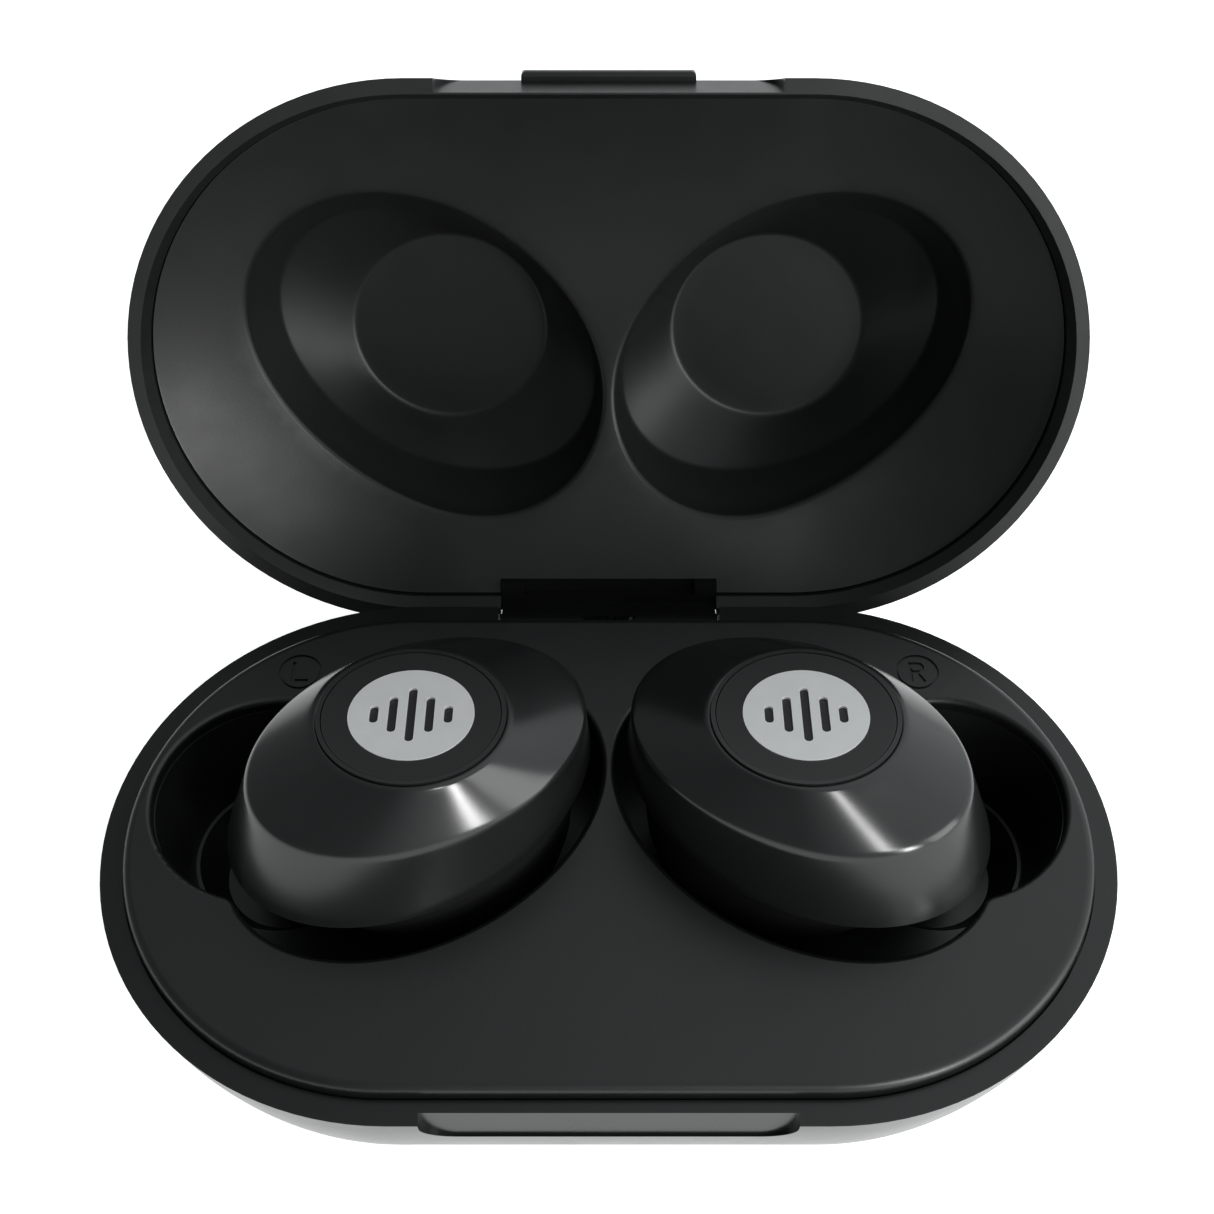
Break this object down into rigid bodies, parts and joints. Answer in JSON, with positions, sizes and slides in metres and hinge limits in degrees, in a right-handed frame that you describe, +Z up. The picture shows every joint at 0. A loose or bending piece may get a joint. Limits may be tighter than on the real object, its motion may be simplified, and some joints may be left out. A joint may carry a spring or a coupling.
{
  "type": "wireless earbuds case",
  "caption": "Pocket charging case for wireless earbuds: stadium-shaped base with pockets and spring contacts, hinged domed lid, and a left and a right earbud that lift out.",
  "frame": {"origin": "centre of the flat underside that the case rests on", "axes": "+Z up from the underside, +X to the right seen from the open front, +Y towards the hinge"},
  "size_m": [0.066, 0.0658, 0.0485],
  "materials": {
    "base_black": "smooth satin-gloss moulded ABS",
    "tray_black": "fine matt moulded ABS",
    "lid_black": "satin moulded ABS",
    "liner_black": "fine matt moulded ABS",
    "hinge_black": "matt moulded acetal",
    "bud_satin_black": "satin painted shell",
    "bud_body_black": "matt moulded ABS",
    "trim_black": "satin ring",
    "button_black": "satin press cap",
    "badge_silver": "fine satin silver",
    "ear_tip_rubber": "soft silicone",
    "contact_gold": "gold plated",
    "mesh_steel": "woven mesh",
    "magnet_nickel": "nickel plated",
    "cell_steel": "coin cell can",
    "battery_wrap": "laminated pouch",
    "circuit_green": "solder mask",
    "component_black": "moulded",
    "fastener_steel": "plated steel",
    "spring_black": "black oxide spring wire"
  },
  "bodies": {
    "base": {"base_latch_magnets": "magnet_nickel", "base_shell": "base_black", "board_chips": "component_black", "board_screws": "fastener_steel", "case_battery": "battery_wrap", "dock_magnets": "magnet_nickel", "hinge_pin": "fastener_steel", "hinge_spring": "spring_black", "inner_tray": "tray_black", "main_board": "circuit_green", "pin_socket_left": "component_black", "pin_socket_right": "component_black", "usb_c_shell": "fastener_steel", "usb_c_tongue": "component_black"},
    "lid": {"lid_hinge_arm": "hinge_black", "lid_latch_magnets": "magnet_nickel", "lid_liner": "liner_black", "lid_shell": "lid_black"},
    "bud_left": {"bud_left_board": "circuit_green", "bud_left_cell": "cell_steel", "bud_left_contacts": "contact_gold", "bud_left_driver": "component_black", "bud_left_ear_tip": "ear_tip_rubber", "bud_left_inner_housing": "bud_body_black", "bud_left_magnet": "magnet_nickel", "bud_left_nozzle_mesh": "mesh_steel", "bud_left_outer_shell": "bud_satin_black", "bud_left_switch": "component_black", "bud_left_trim_ring": "trim_black"},
    "bud_right": {"bud_right_board": "circuit_green", "bud_right_cell": "cell_steel", "bud_right_contacts": "contact_gold", "bud_right_driver": "component_black", "bud_right_ear_tip": "ear_tip_rubber", "bud_right_inner_housing": "bud_body_black", "bud_right_magnet": "magnet_nickel", "bud_right_nozzle_mesh": "mesh_steel", "bud_right_outer_shell": "bud_satin_black", "bud_right_switch": "component_black", "bud_right_trim_ring": "trim_black"},
    "button_left": {"bud_left_badge": "badge_silver", "bud_left_button": "button_black"},
    "button_right": {"bud_right_badge": "badge_silver", "bud_right_button": "button_black"},
    "charge_pin_left_inner": {"charge_pin_left_inner": "contact_gold"},
    "charge_pin_left_outer": {"charge_pin_left_outer": "contact_gold"},
    "charge_pin_right_inner": {"charge_pin_right_inner": "contact_gold"},
    "charge_pin_right_outer": {"charge_pin_right_outer": "contact_gold"}
  },
  "joints": [
    {"name": "lid_hinge", "type": "hinge", "parent": "base", "child": "lid", "pos_m": [0, 0.01935, 0.01328], "axis": [-1, 0, 0], "range_deg": [-112.7, 0]},
    {"name": "bud_left_lift", "type": "slide", "parent": "base", "child": "bud_left", "axis": [0, 0, 1], "range_m": [0, 0.02]},
    {"name": "bud_right_lift", "type": "slide", "parent": "base", "child": "bud_right", "axis": [0, 0, 1], "range_m": [0, 0.02]},
    {"name": "button_left_press", "type": "slide", "parent": "bud_left", "child": "button_left", "axis": [0, 0.1564, 0.9877], "range_m": [-0.0003, 0], "stiffness_N_per_m": 2000},
    {"name": "button_right_press", "type": "slide", "parent": "bud_right", "child": "button_right", "axis": [0, 0.1564, 0.9877], "range_m": [-0.0003, 0], "stiffness_N_per_m": 2000},
    {"name": "charge_pin_left_inner_press", "type": "slide", "parent": "base", "child": "charge_pin_left_inner", "axis": [0, 0, 1], "range_m": [-0.0005, 0], "stiffness_N_per_m": 400},
    {"name": "charge_pin_left_outer_press", "type": "slide", "parent": "base", "child": "charge_pin_left_outer", "axis": [0, 0, 1], "range_m": [-0.0005, 0], "stiffness_N_per_m": 400},
    {"name": "charge_pin_right_inner_press", "type": "slide", "parent": "base", "child": "charge_pin_right_inner", "axis": [0, 0, 1], "range_m": [-0.0005, 0], "stiffness_N_per_m": 400},
    {"name": "charge_pin_right_outer_press", "type": "slide", "parent": "base", "child": "charge_pin_right_outer", "axis": [0, 0, 1], "range_m": [-0.0005, 0], "stiffness_N_per_m": 400}
  ]
}
